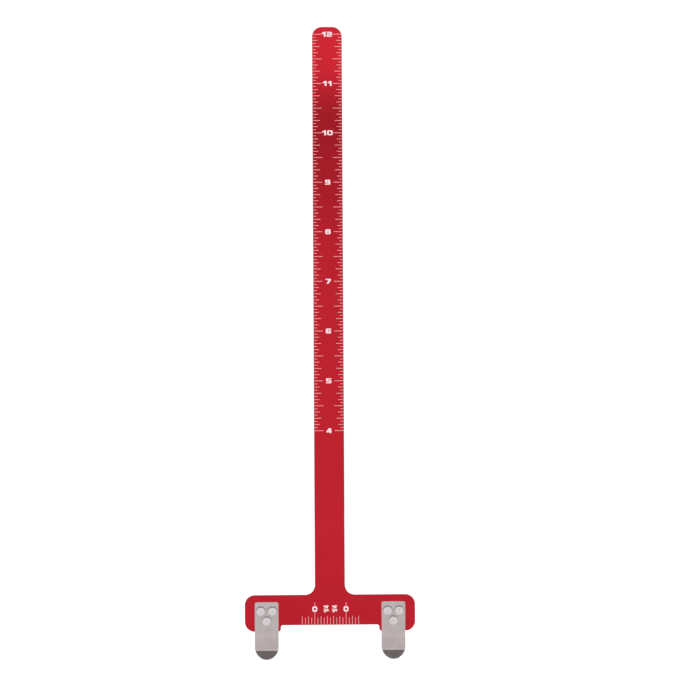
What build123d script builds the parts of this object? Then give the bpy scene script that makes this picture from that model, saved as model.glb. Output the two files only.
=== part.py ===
from build123d import *
import math
import os

# A bow square: a T-shaped aluminium plate with two spring clips on its head.
# The clips snap onto a bowstring, and the blade then stands square to the
# string as an inch scale for setting the nocking point and the brace height.
#
# Frame: Z runs up the blade, X along the head, Y through the thickness. The
# front, which carries the scale, faces -Y. The origin is on the line where
# the head's lugs rest on the string, halfway between the clips. That line is
# the zero of the blade's scale.

# T-shaped plate, stamped in one piece
plate_thickness = 2.0
blade_width = 15.2
blade_top = 308.6
head_width = 86.4
head_top = 18.4
head_underside = 3.2
corner_radius = 5.0
edge_break = 0.2

# Lugs at the ends of the head, which reach down to the string and carry the clips
lug_width = 18.2
lug_bottom = 0.0
lug_step_radius = 1.2

# Spring clips: at each end of the head, one leaf in front and one behind
clip_spacing = 64.3
leaf_thickness = 0.4
leaf_width = 12.0
leaf_top = 14.9
leaf_top_radius = 1.0
leaf_tip = -14.0

# Side profile of a leaf: flat on the lug, a shallow pocket for the string, in
# to a pinch that keeps the string from slipping out, then a flared lead-in
pocket_start_z = -0.3
pocket_z = -3.4
pocket_depth = 0.18
pinch_z = -9.3
pinch_gap = 1.2
flare_angle = 21.0
pocket_start_radius = 4.0
pocket_radius = 5.0
pinch_radius = 3.0

# A leaf flexes between its lowest rivet and the end of the lug. It is held as
# two pieces that meet there: the base, riveted to the lug, and the jaw, which
# swings.
flex_z = 1.4

# Three rivets in a triangle through each clip, with nearly flat heads in front
# whose rims are well rounded, and clinched behind
rivet_pair_spacing = 5.9
rivet_pair_z = 10.3
rivet_low_z = 5.3
rivet_shank_radius = 1.2
rivet_hole_radius = 1.25
rivet_head_radius = 2.5
rivet_head_height = 1.0
rivet_face_drop = 0.2
rivet_shoulder_radius = 0.65
rivet_tail_radius = 2.05
rivet_tail_height = 0.7
rivet_bore_radius = 0.7
rivet_bore_depth = 1.5

# Places that follow from the sizes above
plate_face = plate_thickness / 2
leaf_face = plate_face + leaf_thickness
lug_inner_x = head_width / 2 - lug_width
through_everything = 4 * plate_thickness
sides = {"left": -1, "right": 1}


def at_corner(vertex, corners):
    """Whether a vertex of a drawing is one of the given corners."""
    return any(math.hypot(vertex.X - x, vertex.Y - y) < 0.01 for x, y in corners)


def round_corners(drawing, corners, radius):
    """The drawing with the given corners rounded."""
    chosen = [v for v in drawing.vertices() if at_corner(v, corners)]
    return fillet(chosen, radius)


def mirrored(points):
    """Points of the right half, then the same points of the left half in reverse."""
    return points + [(-x, y) for x, y in reversed(points)]


def rivet_places(side):
    """One clip's rivets, as (name, x, z), on the left (-1) or the right (1) of the head."""
    clip_x = side * clip_spacing / 2
    half_pair = side * rivet_pair_spacing / 2
    return [
        ("upper_outer", clip_x + half_pair, rivet_pair_z),
        ("upper_inner", clip_x - half_pair, rivet_pair_z),
        ("lower", clip_x, rivet_low_z),
    ]


def rivet_holes(side):
    """Rods the size of one clip's rivet holes, right through everything."""
    rod = Cylinder(rivet_hole_radius, through_everything, rotation=(90, 0, 0))
    return [Pos(x, 0, z) * rod for _, x, z in rivet_places(side)]


def t_plate():
    """Head, lugs and blade as one plate with broken edges and rivet holes."""
    lug_step = [(lug_inner_x, head_underside), (lug_inner_x, lug_bottom)]
    large = [
        (head_width / 2, lug_bottom),
        (head_width / 2, head_top),
        (blade_width / 2, head_top),
        (blade_width / 2, blade_top),
    ]
    outline = Polygon(*mirrored(lug_step + large), align=None)
    outline = round_corners(outline, mirrored(large), corner_radius)
    outline = round_corners(outline, mirrored(lug_step), lug_step_radius)
    plate = extrude(Plane.XZ * outline, plate_face, both=True)
    faces = plate.faces().sort_by(Axis.Y)
    plate = chamfer(faces[0].edges() + faces[-1].edges(), edge_break)
    return plate - rivet_holes(sides["left"]) - rivet_holes(sides["right"])


def leaf_profile():
    """Side view of a front leaf: its inner line and the same line one thickness out."""
    half_pinch = pinch_gap / 2
    flare_out = (pinch_z - leaf_tip) * math.tan(math.radians(flare_angle))
    inner = FilletPolyline(
        (-plate_face, leaf_top),
        (-plate_face, pocket_start_z),
        (-plate_face - pocket_depth, pocket_z),
        (-half_pinch, pinch_z),
        (-half_pinch - flare_out, leaf_tip),
        radius=[pocket_start_radius, pocket_radius, pinch_radius],
    )
    strip = offset(inner, leaf_thickness, side=Side.RIGHT, closed=True)
    return make_face(strip)


def leaf_outline():
    """Front view of a leaf: a strip with eased top corners and a round tip."""
    tip_centre = leaf_tip + leaf_width / 2
    strip = Pos(0, (leaf_top + tip_centre) / 2) * Rectangle(leaf_width, leaf_top - tip_centre)
    top_corners = mirrored([(leaf_width / 2, leaf_top)])
    strip = round_corners(strip, top_corners, leaf_top_radius)
    return strip + Pos(0, tip_centre) * Circle(leaf_width / 2)


def front_leaf(side):
    """One whole leaf, in place on the front of the left or right lug."""
    strip = extrude(Plane.YZ * leaf_profile(), leaf_width, both=True)
    blank = extrude(Plane.XZ * leaf_outline(), through_everything, both=True)
    return Pos(side * clip_spacing / 2, 0, 0) * (strip & blank) - rivet_holes(side)


def face_midpoint(crown, shoulder):
    """Point halfway along the face of a rivet's head, a shallow cap of one sphere."""
    drop = abs(shoulder - crown)
    sphere_radius = (rivet_head_radius**2 + drop**2) / (2 * drop)
    half_angle = math.asin(rivet_head_radius / sphere_radius) / 2
    rise = sphere_radius * (1 - math.cos(half_angle))
    return sphere_radius * math.sin(half_angle), crown + rise


def rivet():
    """One set rivet along Y: low round-edged head in front, shank, hollow rolled tail behind."""
    under_head = -leaf_face
    crown = under_head - rivet_head_height
    shoulder = crown + rivet_face_drop
    tail_end = leaf_face + rivet_tail_height
    tail_middle = (rivet_tail_radius + rivet_bore_radius) / 2
    bore_bottom = tail_end - rivet_bore_depth
    shank = Polyline(
        (rivet_head_radius, shoulder),
        (rivet_head_radius, under_head),
        (rivet_shank_radius, under_head),
        (rivet_shank_radius, leaf_face),
        (rivet_tail_radius, leaf_face),
    )
    roll = ThreePointArc(
        (rivet_tail_radius, leaf_face),
        (tail_middle, tail_end),
        (rivet_bore_radius, leaf_face),
    )
    bore = Polyline(
        (rivet_bore_radius, leaf_face),
        (rivet_bore_radius, bore_bottom),
        (0, bore_bottom),
        (0, crown),
    )
    face = ThreePointArc((0, crown), face_midpoint(crown, shoulder), (rivet_head_radius, shoulder))
    half_section = make_face([shank, roll, bore, face])
    head_corner = [(rivet_head_radius, shoulder)]
    half_section = round_corners(half_section, head_corner, rivet_shoulder_radius)
    return revolve(half_section, Axis.Y)


def write(node, shape):
    """Save one piece under its node name."""
    export_step(shape, f"parts/{node}.step")


os.makedirs("parts", exist_ok=True)

write("t_plate", t_plate())
flex_plane = Plane.XY.offset(flex_z)
for side_name, side in sides.items():
    leaf = front_leaf(side)
    for face_name, whole_leaf in {"front": leaf, "back": mirror(leaf, Plane.XZ)}.items():
        base = split(whole_leaf, bisect_by=flex_plane, keep=Keep.TOP)
        jaw = split(whole_leaf, bisect_by=flex_plane, keep=Keep.BOTTOM)
        write(f"{side_name}_{face_name}_clip_base", base)
        write(f"{side_name}_{face_name}_clip_jaw", jaw)
    for rivet_name, x, z in rivet_places(side):
        write(f"{side_name}_rivet_{rivet_name}", Pos(x, 0, z) * rivet())
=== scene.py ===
import math

import bmesh
import bpy
from mathutils import Matrix, Vector


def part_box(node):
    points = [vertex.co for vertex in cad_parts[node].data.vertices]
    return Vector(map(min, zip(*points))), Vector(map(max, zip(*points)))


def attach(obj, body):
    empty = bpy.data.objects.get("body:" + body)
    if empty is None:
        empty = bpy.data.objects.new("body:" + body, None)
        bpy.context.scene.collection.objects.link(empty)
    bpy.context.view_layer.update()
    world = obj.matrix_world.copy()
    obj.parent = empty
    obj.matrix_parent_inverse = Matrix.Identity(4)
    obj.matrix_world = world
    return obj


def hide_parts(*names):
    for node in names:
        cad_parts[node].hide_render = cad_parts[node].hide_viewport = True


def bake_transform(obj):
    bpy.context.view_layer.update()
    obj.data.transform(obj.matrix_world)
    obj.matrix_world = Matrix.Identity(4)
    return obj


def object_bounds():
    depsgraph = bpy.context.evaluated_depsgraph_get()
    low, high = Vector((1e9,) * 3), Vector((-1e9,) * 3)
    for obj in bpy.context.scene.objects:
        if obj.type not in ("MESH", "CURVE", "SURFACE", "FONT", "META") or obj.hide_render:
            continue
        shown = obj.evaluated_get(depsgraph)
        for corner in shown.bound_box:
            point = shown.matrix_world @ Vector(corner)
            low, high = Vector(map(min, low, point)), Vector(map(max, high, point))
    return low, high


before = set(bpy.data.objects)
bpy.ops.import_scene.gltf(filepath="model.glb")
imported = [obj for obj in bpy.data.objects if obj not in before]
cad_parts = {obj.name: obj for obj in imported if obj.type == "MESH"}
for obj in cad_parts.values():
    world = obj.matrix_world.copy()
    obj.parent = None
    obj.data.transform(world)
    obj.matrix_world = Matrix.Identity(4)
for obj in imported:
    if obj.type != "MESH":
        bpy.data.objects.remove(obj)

# A bow square: a red anodised T plate with a printed inch scale and two spring
# clips. Lengths below are in millimetres and are turned into metres by MM.
# Z runs up the blade, X along the head, and the printed front faces -Y.
MM = 0.001
INCH = 25.4

cad_low, cad_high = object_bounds()
plate_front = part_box("t_plate")[0].y / MM

# The plate's sizes that the print keeps to
BLADE_WIDTH = 15.2
HEAD_UNDERSIDE = 3.2
EDGE_BREAK = 0.2

# Print: how far it stands off the plate, and the width of its lines
PRINT_RISE = 0.015
LINE_WIDTH = 0.25

# Blade scale, marked in sixteenths of an inch. A line's length, from the blade's
# edge, goes by the first of these counts of sixteenths that divides its place.
FIRST_INCH = 4
LAST_INCH = 12
SIXTEENTH = INCH / 16
LINE_LENGTHS = {16: 4.7, 8: 4.8, 4: 3.75, 2: 2.8, 1: 1.75}

# Numerals: wide, heavy and square-shouldered
NUMERAL_HEIGHT = 2.5
NUMERAL_WIDTH = 2.7
ONE_WIDTH = 1.95
NUMERAL_STEM = 0.8
NUMERAL_BAR = 0.56
NUMERAL_GAP = 0.6
OUTER_RADIUS = 0.55
INNER_RADIUS = 0.16
CUT_RADIUS = 0.04
ARC_STEPS = 6

# Head scale, in sixteenths each way from its middle: its last mark, its two zeros,
# the lengths of odd and even marks, and how far it is right of the plate's middle
HEAD_MARKS = 9
HEAD_ZERO = 5
HEAD_LONG = 4.45
HEAD_SHORT = 3.65
HEAD_SHIFT = 0.2

# The zeros, and the line that goes on above each
ZERO_LOW = 9.85
ZERO_HEIGHT = 2.75
ZERO_WIDTH = 2.5
ZERO_RADIUS = 0.85
ZERO_HOLE = 1.15
ZERO_HOLE_RADIUS = 0.35
ZERO_TAIL = 2.0

# The labels between the zeros, drawn as numerals and then squeezed and turned
FRACTION_X = 2.15
FRACTION_Z = 11.3
FRACTION_TALL = 1.0
FRACTION_NARROW = 0.56
FRACTION_GAP = 0.2
SLASH_WIDTH = 1.3
SLASH_STROKE = 0.75

# Side profile of a leaf's inner face, as in the CAD model: distance from the
# middle of the plate, height, and the radius of the bend there
LEAF_THICKNESS = 0.4
LEAF_KNEES = [(1.0, -0.3, 4.0), (1.18, -3.4, 5.0), (0.6, -9.3, 3.0)]
FLARE_ANGLE = math.radians(21.0)
LEAF_TOP_RADIUS = 1.0
LEAF_EDGE_ROUND = 0.05
BEVEL_ANGLE = math.radians(50)
SMOOTH_ANGLE = math.radians(35)

# The stretch over which a leaf passes from the fixed plate to its jaw
FLEX_START = 2.8
FLEX_END = 0.0

# How finely a leaf is divided: columns across, rows of its mesh down its length
LEAF_COLUMNS = 16
ROW_STEP = 1.0
FLEX_ROW_STEP = 0.2
BEND_ROWS = 8
TIP_ROWS = 24
TOP_CORNER_ROWS = 6
LEAST_ROW_STEP = 0.01
WELD_DISTANCE = 0.0005

# The studio's brightness by height, in degrees above the horizon, on the front side
SKY_BANDS = [
    (4.5, 1.12),
    (6.6, 0.86),
    (8.6, 0.6),
    (9.2, 0.72),
    (10.1, 1.75),
    (10.9, 1.35),
    (22, 1.2),
    (29, 0.15),
    (35, 0.31),
    (45, 0.14),
]
# Its even brightness behind, and how far past the middle the two sides run into each other
SKY_BEHIND = 0.6
SKY_TURN = 0.25
# How strong it is straight ahead and out to the sides, as (sideways part of a direction, gain)
SKY_GAINS = [(0.55, 2.0), (0.9, 0.9)]
# Its plain white where the camera sees it directly
BACKDROP = 1.05

# The fill light's aim, in metres
FILL_TARGET = (0, 0, 0.15)

# The floor: its size, how far it is under the clips, and how brightly it glows on the
# object and to the camera
FLOOR_HALF_SIZE = 1500.0
FLOOR_DROP = 0.1
FLOOR_GLOW = 0.62
FLOOR_GLOW_SEEN = 0.78


def object_from_bmesh(name, bm, material):
    """A mesh object in metres, from a bmesh drawn in millimetres."""
    bmesh.ops.recalc_face_normals(bm, faces=bm.faces)
    bmesh.ops.scale(bm, vec=Vector((MM, MM, MM)), verts=bm.verts)
    mesh = bpy.data.meshes.new(name)
    bm.to_mesh(mesh)
    bm.free()
    mesh.materials.append(material)
    piece = bpy.data.objects.new(name, mesh)
    bpy.context.scene.collection.objects.link(piece)
    return piece


# ---------------------------------------------------------------- materials

class Nodes:
    """Short hand for building one material's node tree."""

    def __init__(self, name):
        self.material = bpy.data.materials.new(name)
        self.material.use_nodes = True
        self.tree = self.material.node_tree
        self.tree.nodes.clear()
        output = self.tree.nodes.new("ShaderNodeOutputMaterial")
        self.shader = self.tree.nodes.new("ShaderNodeBsdfPrincipled")
        self.link(self.shader.outputs["BSDF"], output.inputs["Surface"])

    def link(self, a, b):
        """Links an output socket to an input socket."""
        self.tree.links.new(a, b)

    def set(self, **values):
        """Constant values on the shader's own sockets."""
        for name, value in values.items():
            self.shader.inputs[name.replace("_", " ")].default_value = value

    def position(self, scale=(1.0, 1.0, 1.0)):
        """Position in the piece's own frame, in metres, stretched by scale."""
        coordinates = self.tree.nodes.new("ShaderNodeTexCoord")
        mapping = self.tree.nodes.new("ShaderNodeMapping")
        mapping.inputs["Scale"].default_value = scale
        self.link(coordinates.outputs["Object"], mapping.inputs["Vector"])
        return mapping.outputs["Vector"]

    def noise(self, vector, scale, detail=3.0, roughness=0.5):
        """Noise from 0 to 1, with scale features to the metre."""
        node = self.tree.nodes.new("ShaderNodeTexNoise")
        node.inputs["Scale"].default_value = scale
        node.inputs["Detail"].default_value = detail
        node.inputs["Roughness"].default_value = roughness
        self.link(vector, node.inputs["Vector"])
        return node.outputs["Fac"]

    def ramp(self, factor, stops):
        """A colour ramp with stops of (position, colour)."""
        node = self.tree.nodes.new("ShaderNodeValToRGB")
        elements = node.color_ramp.elements
        while len(elements) < len(stops):
            elements.new(0.5)
        for element, (position, colour) in zip(elements, stops):
            element.position = position
            element.color = (*colour, 1.0)
        self.link(factor, node.inputs["Fac"])
        return node.outputs["Color"]

    def remap(self, value, low, high, new_low, new_high):
        """The value with its range from low to high moved to a new one, and held within it."""
        node = self.tree.nodes.new("ShaderNodeMapRange")
        node.inputs["From Min"].default_value = low
        node.inputs["From Max"].default_value = high
        node.inputs["To Min"].default_value = new_low
        node.inputs["To Max"].default_value = new_high
        self.link(value, node.inputs["Value"])
        return node.outputs["Result"]

    def math(self, operation, a, b):
        """One sum on two values, each a number or an output socket."""
        node = self.tree.nodes.new("ShaderNodeMath")
        node.operation = operation
        for socket, value in zip(node.inputs, (a, b)):
            if isinstance(value, (int, float)):
                socket.default_value = value
            else:
                self.link(value, socket)
        return node.outputs["Value"]

    def mix(self, factor, a, b):
        """Colour a, or b where the factor is 1. Each is a tuple or an output socket."""
        node = self.tree.nodes.new("ShaderNodeMix")
        node.data_type = "RGBA"
        self.link(factor, node.inputs[0])
        for socket, value in ((node.inputs[6], a), (node.inputs[7], b)):
            if isinstance(value, tuple):
                socket.default_value = (*value, 1.0)
            else:
                self.link(value, socket)
        return node.outputs[2]

    def bump(self, height, strength, distance, normal=None):
        """A bumped normal, on top of another if one is given. The distance is in metres."""
        node = self.tree.nodes.new("ShaderNodeBump")
        node.inputs["Strength"].default_value = strength
        node.inputs["Distance"].default_value = distance
        self.link(height, node.inputs["Height"])
        if normal is not None:
            self.link(normal, node.inputs["Normal"])
        return node.outputs["Normal"]

    def edge_mask(self):
        """1 on the broken edges, which face neither straight front or back nor sideways, else 0."""
        coordinates = self.tree.nodes.new("ShaderNodeTexCoord")
        split = self.tree.nodes.new("ShaderNodeSeparateXYZ")
        self.link(coordinates.outputs["Normal"], split.inputs["Vector"])
        facing = self.math("ABSOLUTE", split.outputs["Y"], 0.0)
        above = self.math("GREATER_THAN", facing, 0.3)
        below = self.math("LESS_THAN", facing, 0.95)
        return self.math("MULTIPLY", above, below)


def anodised_red():
    """Bright red anodising over fine-grained aluminium, thinner and paler on its broken edges."""
    n = Nodes("red_anodised_aluminium")
    here = n.position()
    cloud = n.noise(here, 35.0, 3.0)
    grain = n.noise(here, 5200.0, 2.0, 0.7)
    rolled = n.noise(n.position((1.0, 1.0, 0.04)), 2600.0, 2.0)
    deep = n.ramp(cloud, [(0.3, (0.415, 0.0085, 0.018)), (0.7, (0.45, 0.0105, 0.021))])
    speckled = n.mix(n.remap(grain, 0.35, 0.75, 0.0, 0.35), deep, (0.54, 0.018, 0.030))
    wear = n.remap(n.noise(here, 900.0, 3.0), 0.35, 0.7, 0.15, 0.6)
    worn = n.math("MULTIPLY", n.edge_mask(), wear)
    n.link(n.mix(worn, speckled, (0.50, 0.03, 0.045)), n.shader.inputs["Base Color"])
    n.link(n.remap(grain, 0.3, 0.7, 0.06, 0.10), n.shader.inputs["Roughness"])
    fine = n.bump(grain, 0.03, 0.00001)
    n.link(n.bump(rolled, 0.02, 0.00001, fine), n.shader.inputs["Normal"])
    n.set(Metallic=1.0, Coat_Weight=0.12, Coat_Roughness=0.1, Coat_IOR=1.5)
    return n.material


def spring_steel():
    """Satin stainless strip with rolling lines along its length and faint handling marks."""
    n = Nodes("rolled_spring_steel")
    here = n.position()
    lines = n.noise(n.position((1.0, 1.0, 0.02)), 7000.0, 3.0, 0.6)
    smudge = n.noise(here, 260.0, 3.0)
    pale = n.ramp(smudge, [(0.3, (0.45, 0.395, 0.39)), (0.7, (0.50, 0.445, 0.435))])
    lined = n.mix(n.remap(lines, 0.3, 0.7, 0.0, 0.5), pale, (0.41, 0.365, 0.36))
    n.link(lined, n.shader.inputs["Base Color"])
    n.link(n.remap(lines, 0.3, 0.7, 0.18, 0.26), n.shader.inputs["Roughness"])
    n.link(n.bump(lines, 0.12, 0.00002), n.shader.inputs["Normal"])
    n.set(Metallic=1.0, Anisotropic=0.3)
    return n.material


def rivet_aluminium():
    """Soft bright aluminium, a little dented and dulled by the setting tool."""
    n = Nodes("plain_rivet_aluminium")
    here = n.position()
    dents = n.noise(here, 900.0, 2.0)
    grain = n.noise(here, 6000.0, 3.0, 0.6)
    colour = n.ramp(dents, [(0.3, (0.58, 0.54, 0.55)), (0.7, (0.65, 0.61, 0.62))])
    n.link(colour, n.shader.inputs["Base Color"])
    n.link(n.remap(grain, 0.3, 0.7, 0.22, 0.32), n.shader.inputs["Roughness"])
    dented = n.bump(dents, 0.25, 0.0001)
    n.link(n.bump(grain, 0.1, 0.00003, dented), n.shader.inputs["Normal"])
    n.set(Metallic=1.0)
    return n.material


def scale_print(name, low, high):
    """Matt white print, a little uneven where the ink is thin."""
    n = Nodes(name)
    patchy = n.noise(n.position(), 3200.0, 3.0, 0.6)
    n.link(n.ramp(patchy, [(0.3, low), (0.65, high)]), n.shader.inputs["Base Color"])
    n.link(n.remap(patchy, 0.3, 0.7, 0.5, 0.65), n.shader.inputs["Roughness"])
    n.link(n.bump(patchy, 0.1, 0.00001), n.shader.inputs["Normal"])
    return n.material


# ------------------------------------------------------------ spring leaves

def knee_turns():
    """The leaf's bends, top to bottom: (out, z, radius, angle above, angle below).

    Angles are from straight down, positive where the leaf leans outward.
    """
    angles = [0.0]
    for (out_a, z_a, _), (out_b, z_b, _) in zip(LEAF_KNEES, LEAF_KNEES[1:]):
        angles.append(math.atan2(out_b - out_a, z_a - z_b))
    angles.append(FLARE_ANGLE)
    return [(*knee, above, below) for knee, above, below in zip(LEAF_KNEES, angles, angles[1:])]


def profile_at(z):
    """The leaf's inner face at height z: (distance out, lean angle)."""
    line = (LEAF_KNEES[0][0], LEAF_KNEES[0][1], 0.0)
    for out, knee_z, radius, above, below in knee_turns():
        run = radius * math.tan(abs(below - above) / 2)
        arc_top = knee_z + run * math.cos(above)
        arc_end = knee_z - run * math.cos(below)
        if z >= arc_top:
            break
        if z > arc_end:
            way = math.copysign(1.0, below - above)
            lean = math.asin(math.sin(above) + way * (arc_top - z) / radius)
            start = out - run * math.sin(above)
            return start + way * radius * (math.cos(above) - math.cos(lean)), lean
        line = (out, knee_z, below)
    out, knee_z, lean = line
    return out + (knee_z - z) * math.tan(lean), lean


def leaf_levels(top, tip, half_width):
    """Heights of the leaf's rows: close together at its bends, rounded ends and flexure."""
    levels = [top - ROW_STEP * i for i in range(1, int(top - tip))]
    flex_rows = int((FLEX_START - FLEX_END) / FLEX_ROW_STEP)
    levels += [FLEX_START - FLEX_ROW_STEP * i for i in range(flex_rows + 1)]
    for _, knee_z, radius, above, below in knee_turns():
        run = radius * math.tan(abs(below - above) / 2)
        levels += [knee_z + run * (1 - 2 * i / BEND_ROWS) for i in range(BEND_ROWS + 1)]
    for i in range(TIP_ROWS + 1):
        turn = math.radians(i * 90 / TIP_ROWS)
        levels.append(tip + half_width * (1 - math.sin(turn)))
    for i in range(TOP_CORNER_ROWS + 1):
        turn = math.radians(i * 90 / TOP_CORNER_ROWS)
        levels.append(top - LEAF_TOP_RADIUS * (1 - math.cos(turn)))
    kept = []
    for level in sorted(levels, reverse=True):
        if not kept or kept[-1] - level > LEAST_ROW_STEP:
            kept.append(level)
    kept[-1] = tip
    return kept


def half_width_at(z, top, tip, half_width):
    """Half the leaf's width at height z, inside its eased top corners and round tip."""
    tip_centre = tip + half_width
    shoulder = top - LEAF_TOP_RADIUS
    if z < tip_centre:
        return math.sqrt(max(0.0, half_width**2 - (tip_centre - z) ** 2))
    if z > shoulder:
        eased = math.sqrt(max(0.0, LEAF_TOP_RADIUS**2 - (z - shoulder) ** 2))
        return half_width - LEAF_TOP_RADIUS + eased
    return half_width


def leaf(name, side_and_face, material):
    """One continuous spring leaf, which stands for its riveted base and its jaw."""
    base, jaw = f"{side_and_face}_clip_base", f"{side_and_face}_clip_jaw"
    base_low, base_high = (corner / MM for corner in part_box(base))
    jaw_low, _ = (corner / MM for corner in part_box(jaw))
    centre_x = (base_low.x + base_high.x) / 2
    half_width = (base_high.x - base_low.x) / 2
    top, tip = base_high.z, jaw_low.z
    way = -1.0 if base_high.y < 0 else 1.0
    bm = bmesh.new()
    sheets = {0.0: [], LEAF_THICKNESS: []}
    for z in leaf_levels(top, tip, half_width):
        out, lean = profile_at(z)
        reach = half_width_at(z, top, tip, half_width)
        for depth, rows in sheets.items():
            y = way * (out + depth * math.cos(lean))
            row_z = z + depth * math.sin(lean)
            row = []
            for i in range(LEAF_COLUMNS + 1):
                x = centre_x + reach * (2 * i / LEAF_COLUMNS - 1)
                row.append(bm.verts.new((x, y, row_z)))
            rows.append(row)
    inner, outer = sheets.values()
    for rows in (inner, outer):
        for upper, lower in zip(rows, rows[1:]):
            for i in range(LEAF_COLUMNS):
                bm.faces.new((upper[i], upper[i + 1], lower[i + 1], lower[i]))
    for edge in (0, LEAF_COLUMNS):
        for i in range(len(inner) - 1):
            bm.faces.new((inner[i][edge], inner[i + 1][edge], outer[i + 1][edge], outer[i][edge]))
    for i in range(LEAF_COLUMNS):
        bm.faces.new((inner[0][i], inner[0][i + 1], outer[0][i + 1], outer[0][i]))
    bmesh.ops.remove_doubles(bm, verts=bm.verts, dist=WELD_DISTANCE)
    piece = object_from_bmesh(name, bm, material)
    round_and_apply(piece)
    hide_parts(base, jaw)
    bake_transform(piece)


def round_and_apply(piece):
    """Rounds a leaf's sharp edges and keeps the result as its mesh."""
    bevel = piece.modifiers.new("rounded_edges", "BEVEL")
    bevel.width = LEAF_EDGE_ROUND * MM
    bevel.segments = 3
    bevel.limit_method = "ANGLE"
    bevel.angle_limit = BEVEL_ANGLE
    bpy.context.view_layer.update()
    evaluated = piece.evaluated_get(bpy.context.evaluated_depsgraph_get())
    rounded_mesh = bpy.data.meshes.new_from_object(evaluated)
    piece.modifiers.clear()
    piece.data = rounded_mesh
    shade_smooth(piece)


def shade_smooth(piece):
    """Smooth shading, with the sharper edges kept sharp."""
    bm = bmesh.new()
    bm.from_mesh(piece.data)
    for face in bm.faces:
        face.smooth = True
    for edge in bm.edges:
        if len(edge.link_faces) == 2:
            edge.smooth = edge.calc_face_angle(0.0) < SMOOTH_ANGLE
    bm.to_mesh(piece.data)
    bm.free()


# ------------------------------------------------------------------- print

def rounded(corners):
    """An outline with its corners rounded. A corner is (x, z) or (x, z, radius)."""
    corners = [(*c, CUT_RADIUS) if len(c) == 2 else c for c in corners]
    points = []
    for i, (x, z, radius) in enumerate(corners):
        here = Vector((x, z))
        before = Vector(corners[i - 1][:2]) - here
        after = Vector(corners[(i + 1) % len(corners)][:2]) - here
        half = before.angle(after) / 2
        run = min(radius / math.tan(half), before.length / 2, after.length / 2)
        fitted = run * math.tan(half)
        inward = (before.normalized() + after.normalized()).normalized()
        centre = here + inward * fitted / math.sin(half)
        start = here + before.normalized() * run - centre
        end = here + after.normalized() * run - centre
        turn = start.angle_signed(end)
        for step in range(ARC_STEPS + 1):
            spoke = start.copy()
            spoke.rotate(Matrix.Rotation(-turn * step / ARC_STEPS, 2))
            points.append(tuple(centre + spoke))
    return points


def box_corners(x0, z0, x1, z1, radius=CUT_RADIUS):
    """A rectangle's corners, each with its radius."""
    return [(x0, z0, radius), (x1, z0, radius), (x1, z1, radius), (x0, z1, radius)]


def box_outline(*box):
    """A rectangle with rounded corners."""
    return rounded(box_corners(*box))


def numeral(digit):
    """One numeral's outlines, the outer one first, and its width. Its lower left is at 0, 0."""
    w, h, stem, bar = NUMERAL_WIDTH, NUMERAL_HEIGHT, NUMERAL_STEM, NUMERAL_BAR
    big, small = OUTER_RADIUS, INNER_RADIUS
    inside, top = w - stem, h - bar
    under, over = (h - bar) / 2, (h + bar) / 2
    whole = box_corners(0, 0, w, h, big)
    lower_eye = box_corners(stem, bar, inside, under, small)
    upper_eye = box_corners(stem, over, inside, top, small)
    if digit == "0":
        return [whole, box_corners(stem, bar, inside, top, small)], w
    if digit == "1":
        upright = ONE_WIDTH - 0.9
        flag_top, flag_foot, flag_root = h - 0.65, h - 1.2, h - 0.9
        stroke = [(upright, 0), (ONE_WIDTH, 0), (ONE_WIDTH, h), (upright, h)]
        flag = [(0, flag_top), (0, flag_foot), (upright, flag_root)]
        return [stroke + flag], ONE_WIDTH
    if digit == "2":
        bend = [(inside, over, small), (inside, top, small), (0, top), (0, h), (w, h, big)]
        middle = [(w, under, big), (stem, under, small), (stem, bar, small)]
        foot = [(w, bar), (w, 0), (0, 0), (0, over, big)]
        return [bend + middle + foot], w
    if digit == "4":
        upright, back = w - 1.05, w - 0.25
        bar_low, bar_high = 0.42, 0.95
        peak, eye_top, eye_left = upright - 0.4, h - 0.85, 0.95
        right = [(upright, 0), (back, 0), (back, bar_low), (w, bar_low), (w, bar_high)]
        left = [(back, bar_high), (back, h), (peak, h), (0, bar_high), (0, bar_low)]
        eye = [(upright, bar_high), (upright, eye_top), (eye_left, bar_high)]
        return [right + left + [(upright, bar_low)], eye], w
    if digit == "5":
        flag = [(stem, over, small), (stem, top, small), (w, top), (w, h), (0, h), (0, under)]
        bowl = [(inside, under, small), (inside, bar, small), (0, bar), (0, 0)]
        return [flag + bowl + [(w, 0, big), (w, over, big)]], w
    if digit == "6":
        bowl = [(w, top), (w, h), (0, h, big), (0, 0, big), (w, 0, big), (w, over, big)]
        return [bowl + [(stem, over, small), (stem, top, small)], lower_eye], w
    if digit == "7":
        foot_left, foot_right = 0.45, 1.45
        elbow_x, elbow_z = w - 1.0, h - 0.75
        roof = [(0, top), (0, h), (w, h), (w, elbow_z)]
        return [roof + [(foot_right, 0), (foot_left, 0), (elbow_x, top)]], w
    if digit == "8":
        return [whole, lower_eye, upper_eye], w
    if digit == "9":
        bowl = [(0, bar), (0, 0), (w, 0, big), (w, h, big), (0, h, big), (0, under, big)]
        return [bowl + [(inside, under, small), (inside, bar, small)], upper_eye], w
    if digit == "/":
        foot, head = SLASH_STROKE, SLASH_WIDTH - SLASH_STROKE
        return [[(0, 0), (foot, 0), (SLASH_WIDTH, h), (head, h)]], SLASH_WIDTH
    raise ValueError(digit)


def number_outlines(text, gap=NUMERAL_GAP):
    """Outlines of a whole number drawn about its own middle."""
    placed, pen = [], 0.0
    for digit in text:
        outlines, width = numeral(digit)
        for outline in outlines:
            placed.append([(x + pen, z) for x, z in rounded(outline)])
        pen += width + gap
    middle_x, middle_z = (pen - gap) / 2, NUMERAL_HEIGHT / 2
    return [[(x - middle_x, z - middle_z) for x, z in outline] for outline in placed]


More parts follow.
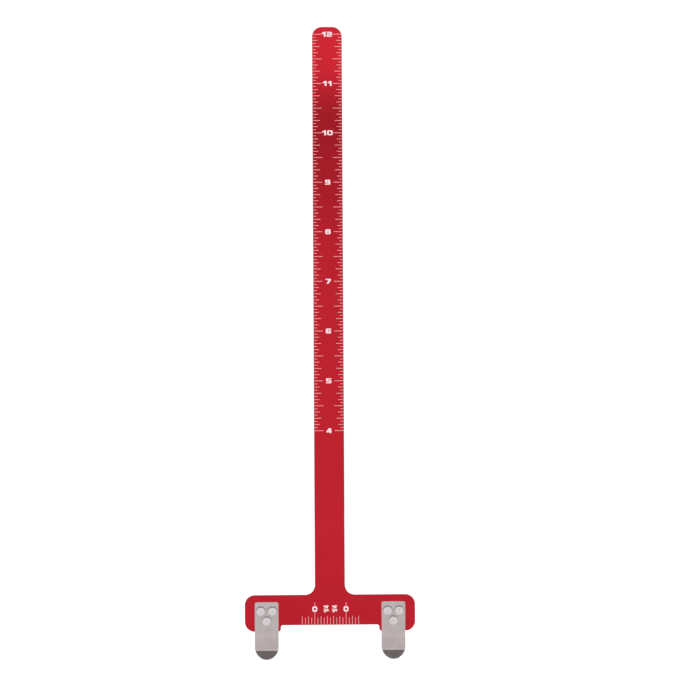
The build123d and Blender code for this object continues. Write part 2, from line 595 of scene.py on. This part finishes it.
def blade_lines():
    """Outlines of every mark along both edges of the blade."""
    outlines = []
    half_line = LINE_WIDTH / 2
    outer = BLADE_WIDTH / 2 - EDGE_BREAK
    for count in range(FIRST_INCH * 16, LAST_INCH * 16 + 1):
        length = next(LINE_LENGTHS[step] for step in LINE_LENGTHS if count % step == 0)
        inner = BLADE_WIDTH / 2 - length
        z = count * SIXTEENTH
        for side in (-1, 1):
            left, right = sorted((side * outer, side * inner))
            outlines.append(box_outline(left, z - half_line, right, z + half_line))
    return outlines


def blade_numerals():
    """Outlines of the inch numbers down the middle of the blade."""
    outlines = []
    for inch in range(FIRST_INCH, LAST_INCH + 1):
        for outline in number_outlines(str(inch)):
            outlines.append([(x, z + inch * INCH) for x, z in outline])
    return outlines


def head_lines():
    """Outlines of the marks that rise from the head's lower edge, with its two zero lines."""
    outlines = []
    half_line = LINE_WIDTH / 2
    foot = HEAD_UNDERSIDE + EDGE_BREAK
    for mark in range(-HEAD_MARKS, HEAD_MARKS + 1):
        x = HEAD_SHIFT + mark * SIXTEENTH
        if abs(mark) == HEAD_ZERO:
            top = ZERO_LOW + ZERO_HEIGHT
            spans = [(foot, ZERO_LOW), (top, top + ZERO_TAIL)]
        else:
            height = HEAD_SHORT if mark % 2 == 0 else HEAD_LONG
            spans = [(foot, HEAD_UNDERSIDE + height)]
        for low, high in spans:
            outlines.append(box_outline(x - half_line, low, x + half_line, high))
    return outlines


def head_numerals():
    """Outlines of the two zeros, and of a quarter-inch label by each, turned to read upward."""
    outlines = []
    middle = ZERO_LOW + ZERO_HEIGHT / 2
    rings = ((ZERO_WIDTH, ZERO_HEIGHT, ZERO_RADIUS), (ZERO_HOLE, ZERO_HOLE, ZERO_HOLE_RADIUS))
    for side in (-1, 1):
        x = HEAD_SHIFT + side * HEAD_ZERO * SIXTEENTH
        for width, height, radius in rings:
            low, high = middle - height / 2, middle + height / 2
            outlines.append(box_outline(x - width / 2, low, x + width / 2, high, radius))
        label_x = HEAD_SHIFT + side * FRACTION_X
        for outline in number_outlines("1/4", FRACTION_GAP):
            turned = [
                (label_x - across * FRACTION_TALL, FRACTION_Z + along * FRACTION_NARROW)
                for along, across in outline
            ]
            outlines.append(turned)
    return outlines


def printed(name, outlines, material):
    """A thin raised print of filled outlines on the plate's front."""
    curve = bpy.data.curves.new(name, "CURVE")
    curve.dimensions = "2D"
    curve.fill_mode = "BOTH"
    curve.extrude = PRINT_RISE / 2 * MM
    for outline in outlines:
        spline = curve.splines.new("POLY")
        spline.points.add(len(outline) - 1)
        for point, (x, z) in zip(spline.points, outline):
            point.co = (x * MM, z * MM, 0.0, 1.0)
        spline.use_cyclic_u = True
    drawing = bpy.data.objects.new(name + "_drawing", curve)
    bpy.context.scene.collection.objects.link(drawing)
    bpy.context.view_layer.update()
    evaluated = drawing.evaluated_get(bpy.context.evaluated_depsgraph_get())
    mesh = bpy.data.meshes.new_from_object(evaluated)
    bpy.data.objects.remove(drawing)
    middle_y = plate_front - PRINT_RISE / 2
    upright = Matrix.Rotation(math.radians(90), 4, "X")
    mesh.transform(Matrix.Translation((0, middle_y * MM, 0)) @ upright)
    mesh.materials.clear()
    mesh.materials.append(material)
    mesh.name = name
    piece = bpy.data.objects.new(name, mesh)
    bpy.context.scene.collection.objects.link(piece)
    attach(piece, "square")


# ------------------------------------------------------- stage and lighting

def studio_world():
    """A soft studio all round, lit in bands of height. Seen directly it is plain white."""
    world = bpy.data.worlds.new("studio")
    bpy.context.scene.world = world
    world.use_nodes = True
    tree = world.node_tree
    tree.nodes.clear()
    coordinates = tree.nodes.new("ShaderNodeTexCoord")
    split = tree.nodes.new("ShaderNodeSeparateXYZ")
    tree.links.new(coordinates.outputs["Generated"], split.inputs["Vector"])
    bands = tree.nodes.new("ShaderNodeValToRGB")
    height = tree.nodes.new("ShaderNodeMapRange")
    height.inputs["From Min"].default_value = -1.0
    tree.links.new(split.outputs["Z"], height.inputs["Value"])
    tree.links.new(height.outputs["Result"], bands.inputs["Fac"])
    elements = bands.color_ramp.elements
    while len(elements) < len(SKY_BANDS):
        elements.new(0.5)
    for element, (degrees, level) in zip(elements, SKY_BANDS):
        element.position = (math.sin(math.radians(degrees)) + 1) / 2
        element.color = (level / 2, level / 2, level / 2, 1.0)
    front = tree.nodes.new("ShaderNodeMapRange")
    front.inputs["From Min"].default_value = SKY_TURN
    front.inputs["From Max"].default_value = -SKY_TURN
    tree.links.new(split.outputs["Y"], front.inputs["Value"])
    studio = tree.nodes.new("ShaderNodeMix")
    studio.data_type = "RGBA"
    studio.inputs[6].default_value = (SKY_BEHIND, SKY_BEHIND, SKY_BEHIND, 1.0)
    tree.links.new(front.outputs["Result"], studio.inputs[0])
    tree.links.new(bands.outputs["Color"], studio.inputs[7])
    sideways = tree.nodes.new("ShaderNodeMath")
    sideways.operation = "ABSOLUTE"
    tree.links.new(split.outputs["X"], sideways.inputs[0])
    sides = tree.nodes.new("ShaderNodeMapRange")
    (middle_x, middle_gain), (side_x, side_gain) = SKY_GAINS
    sides.inputs["From Min"].default_value = middle_x
    sides.inputs["From Max"].default_value = side_x
    sides.inputs["To Min"].default_value = middle_gain
    sides.inputs["To Max"].default_value = side_gain
    tree.links.new(sideways.outputs["Value"], sides.inputs["Value"])
    light = tree.nodes.new("ShaderNodeBackground")
    tree.links.new(sides.outputs["Result"], light.inputs["Strength"])
    tree.links.new(studio.outputs[2], light.inputs["Color"])
    plain = tree.nodes.new("ShaderNodeBackground")
    plain.inputs["Color"].default_value = (1.0, 1.0, 1.0, 1.0)
    plain.inputs["Strength"].default_value = BACKDROP
    path = tree.nodes.new("ShaderNodeLightPath")
    chosen = tree.nodes.new("ShaderNodeMixShader")
    tree.links.new(path.outputs["Is Camera Ray"], chosen.inputs["Fac"])
    tree.links.new(light.outputs["Background"], chosen.inputs[1])
    tree.links.new(plain.outputs["Background"], chosen.inputs[2])
    output = tree.nodes.new("ShaderNodeOutputWorld")
    tree.links.new(chosen.outputs["Shader"], output.inputs["Surface"])


def fill_light():
    """A large soft light from the upper left, which doesn't show in the metal."""
    fill = bpy.data.lights.new("fill", "AREA")
    fill.shape = "DISK"
    fill.size = 1.2
    fill.energy = 9.0
    holder = bpy.data.objects.new("fill", fill)
    holder.location = (-0.5, -1.3, 0.9)
    towards = Vector(FILL_TARGET) - holder.location
    holder.rotation_euler = towards.to_track_quat("-Z", "Y").to_euler()
    holder.visible_glossy = False
    bpy.context.scene.collection.objects.link(holder)


def pale_floor():
    """A plain white floor just under the clips' tips. It looks a little whiter than it lights."""
    bm = bmesh.new()
    bmesh.ops.create_grid(bm, x_segments=1, y_segments=1, size=FLOOR_HALF_SIZE)
    n = Nodes("pale_floor")
    n.set(Base_Color=(0.5, 0.5, 0.5, 1.0), Roughness=0.9, Specular_IOR_Level=0.0)
    n.set(Emission_Color=(1.0, 1.0, 1.0, 1.0))
    path = n.tree.nodes.new("ShaderNodeLightPath")
    glow = n.remap(path.outputs["Is Camera Ray"], 0.0, 1.0, FLOOR_GLOW, FLOOR_GLOW_SEEN)
    n.link(glow, n.shader.inputs["Emission Strength"])
    floor = object_from_bmesh("floor", bm, n.material)
    floor.location.z = cad_low.z - FLOOR_DROP * MM


def photo_camera():
    """A long lens a metre in front, below the middle of the blade, tilted up and turned."""
    distance, across, below = 1000.0, 5.87, 147.7
    tilt, roll, turn = math.radians(2.18), math.radians(0.33), math.radians(1.3)
    level = Vector((math.sin(turn), math.cos(turn), 0)) * math.cos(tilt)
    forward = level + Vector((0, 0, math.sin(tilt)))
    right = Vector((math.cos(turn), -math.sin(turn), 0))
    up = right.cross(forward)
    place = across * right + below * up - distance * forward
    camera = bpy.data.cameras.new("camera")
    camera.lens = 104.28
    camera.sensor_width = 36.0
    camera.clip_start = 0.05
    camera.clip_end = 20.0
    holder = bpy.data.objects.new("camera", camera)
    bpy.context.scene.collection.objects.link(holder)
    rolled = Matrix.Rotation(-roll, 4, "Z")
    turned = Matrix((right, up, -forward)).transposed().to_4x4() @ rolled
    holder.matrix_world = Matrix.Translation(place * MM) @ turned
    bpy.context.scene.camera = holder


bpy.context.scene.view_settings.view_transform = "Standard"
photo_camera()
studio_world()
fill_light()
pale_floor()

red = anodised_red()
steel = spring_steel()
aluminium = rivet_aluminium()
white = scale_print("white_print", (0.90, 0.68, 0.70), (0.97, 0.76, 0.78))
thin_white = scale_print("thin_white_print", (0.88, 0.36, 0.38), (0.96, 0.44, 0.46))

for node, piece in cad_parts.items():
    if node == "t_plate":
        material = red
    elif "rivet" in node:
        material = aluminium
    else:
        material = steel
    for place in piece.material_slots:
        place.material = material

for side_and_face in ("left_front", "left_back", "right_front", "right_back"):
    leaf(f"{side_and_face}_spring_leaf", side_and_face, steel)

printed("blade_scale_lines", blade_lines(), thin_white)
printed("blade_numerals", blade_numerals(), white)
printed("head_scale_lines", head_lines(), thin_white)
printed("head_numerals", head_numerals(), white)
